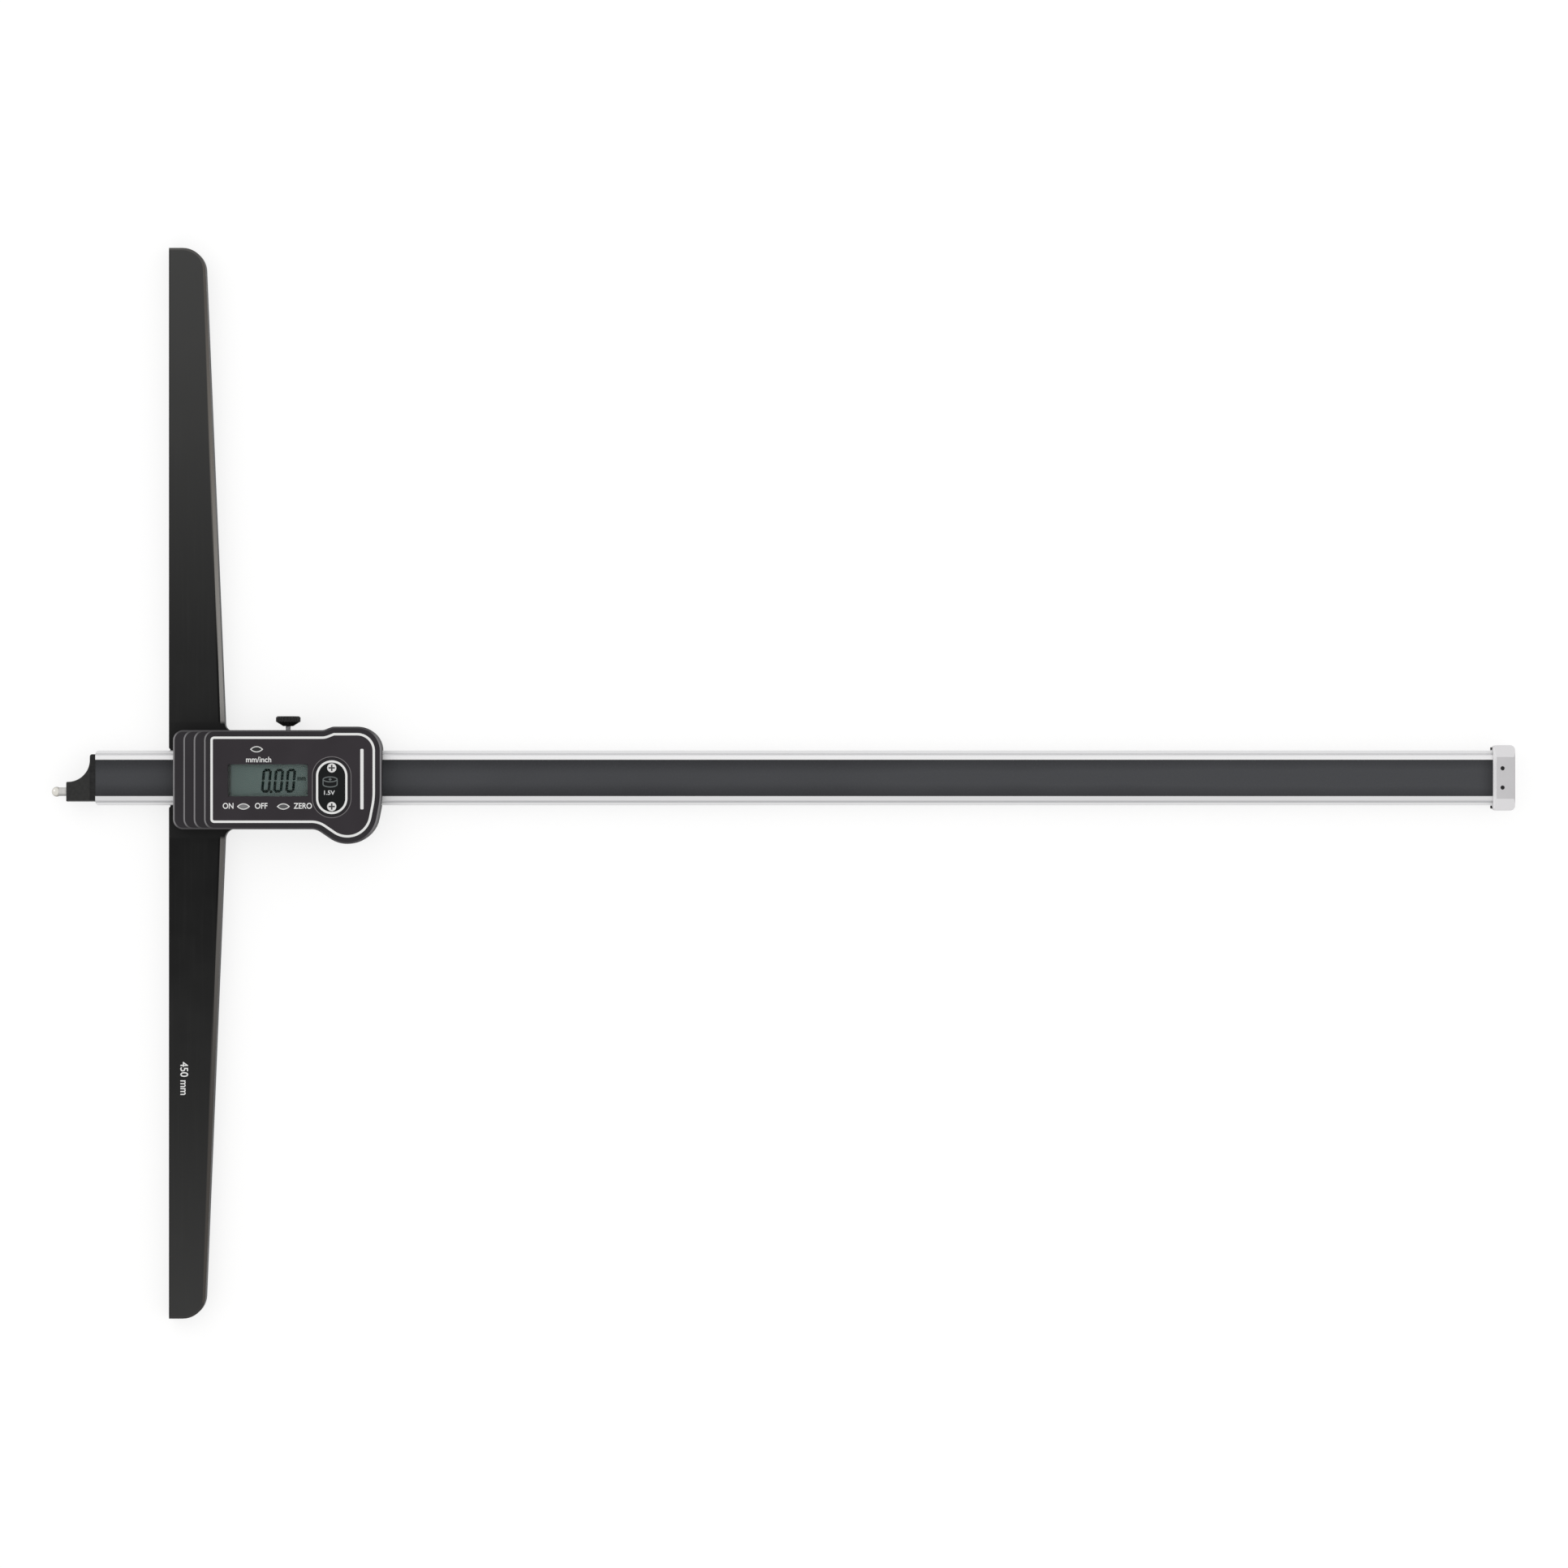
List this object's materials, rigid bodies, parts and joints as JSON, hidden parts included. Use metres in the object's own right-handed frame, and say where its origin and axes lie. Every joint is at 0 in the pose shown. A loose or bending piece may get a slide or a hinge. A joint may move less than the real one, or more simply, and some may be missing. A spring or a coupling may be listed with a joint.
{
  "type": "depth gauge",
  "caption": "Digital depth gauge: a wide tapered bridge base with a display slider, through which a long flat beam with a ball contact and an end cap slides.",
  "frame": {"origin": "in the plane of the base's datum face, on the beam's centre line, at the level of the back that the gauge lies on", "axes": "+X along the beam from the datum face to the end cap, +Y across it to the clamp screw, +Z out of the display"},
  "size_m": [0.5464, 0.4, 0.0199],
  "materials": {
    "black_steel": "black finish on ground steel",
    "spring_steel": "ground",
    "screw_steel": "bright",
    "dark_screw": "blackened",
    "bright_screw": "nickel plated",
    "gib_bronze": "scraped",
    "shoe_brass": "turned",
    "stud_steel": "threaded",
    "black_knob": "knurled, blackened",
    "silver_aluminium": "satin anodised",
    "scale_board": "etched scale",
    "scale_film": "fine matte",
    "black_nose": "black finish",
    "contact_steel": "hardened, ground",
    "carbide_ball": "lapped",
    "cap_aluminium": "satin",
    "bumper_rubber": "moulded",
    "charcoal_plastic": "fine spark texture",
    "panel_film": "printed overlay",
    "clear_window": "clear, moulded",
    "display_glass": "reflective display",
    "white_frame": "moulded",
    "zebra_rubber": "layered",
    "board_green": "solder resist",
    "chip_black": "moulded",
    "switch_plastic": "moulded",
    "cell_steel": "nickel",
    "contact_spring": "plated spring strip",
    "cover_black": "smooth",
    "button_grey": "smooth"
  },
  "bodies": {
    "slider": {"base_bridge": "black_steel", "guide_rails": "spring_steel", "guide_rail_screws": "screw_steel", "board_screws": "screw_steel", "gib_screws": "dark_screw", "housing_screws": "dark_screw", "battery_cover_screws": "bright_screw", "gib_strip": "gib_bronze", "housing_cover": "charcoal_plastic", "front_panel": "panel_film", "display_window": "clear_window", "display_glass": "display_glass", "display_frame": "white_frame", "display_connectors": "zebra_rubber", "circuit_board": "board_green", "controller_chip": "chip_black", "tact_switches": "switch_plastic", "button_cell": "cell_steel", "battery_contact_negative": "contact_spring", "battery_contact_positive": "contact_spring", "battery_cover": "cover_black"},
    "beam": {"beam_extrusion": "silver_aluminium", "scale_strip": "scale_board", "scale_cover_film": "scale_film", "nose_block": "black_nose", "nose_block_screws": "screw_steel", "contact_point": "contact_steel", "contact_ball": "carbide_ball", "end_cap": "cap_aluminium", "end_cap_screws": "screw_steel", "stop_bumpers": "bumper_rubber"},
    "clamp_shoe": {"clamp_shoe": "shoe_brass"},
    "clamp_screw": {"clamp_stud": "stud_steel", "clamp_knob": "black_knob"},
    "mm_inch_key": {"button_mm_inch": "button_grey"},
    "on_off_key": {"button_on_off": "button_grey"},
    "zero_key": {"button_zero": "button_grey"}
  },
  "joints": [
    {"name": "beam_slide", "type": "slide", "parent": "slider", "child": "beam", "axis": [-1, 0, 0], "range_m": [-0.044, 0.414]},
    {"name": "clamp_advance", "type": "slide", "parent": "slider", "child": "clamp_shoe", "axis": [0, -1, 0], "range_m": [-0.0004, 0.0001]},
    {"name": "clamp_turn", "type": "hinge", "parent": "clamp_shoe", "child": "clamp_screw", "pos_m": [0.04438, 0.0195, 0.00685], "axis": [0, -1, 0], "range_deg": [-360.5, 90.5]},
    {"name": "mm_inch_press", "type": "slide", "parent": "slider", "child": "mm_inch_key", "axis": [0, 0, -1], "range_m": [0, 0.0004], "stiffness_N_per_m": 2000, "springref_m": -0.0003},
    {"name": "on_off_press", "type": "slide", "parent": "slider", "child": "on_off_key", "axis": [0, 0, -1], "range_m": [0, 0.0004], "stiffness_N_per_m": 2000, "springref_m": -0.0003},
    {"name": "zero_press", "type": "slide", "parent": "slider", "child": "zero_key", "axis": [0, 0, -1], "range_m": [0, 0.0004], "stiffness_N_per_m": 2000, "springref_m": -0.0003}
  ],
  "couplings": [
    {"joint": "clamp_turn", "follows": "clamp_advance", "rad_per_m": 15708}
  ]
}
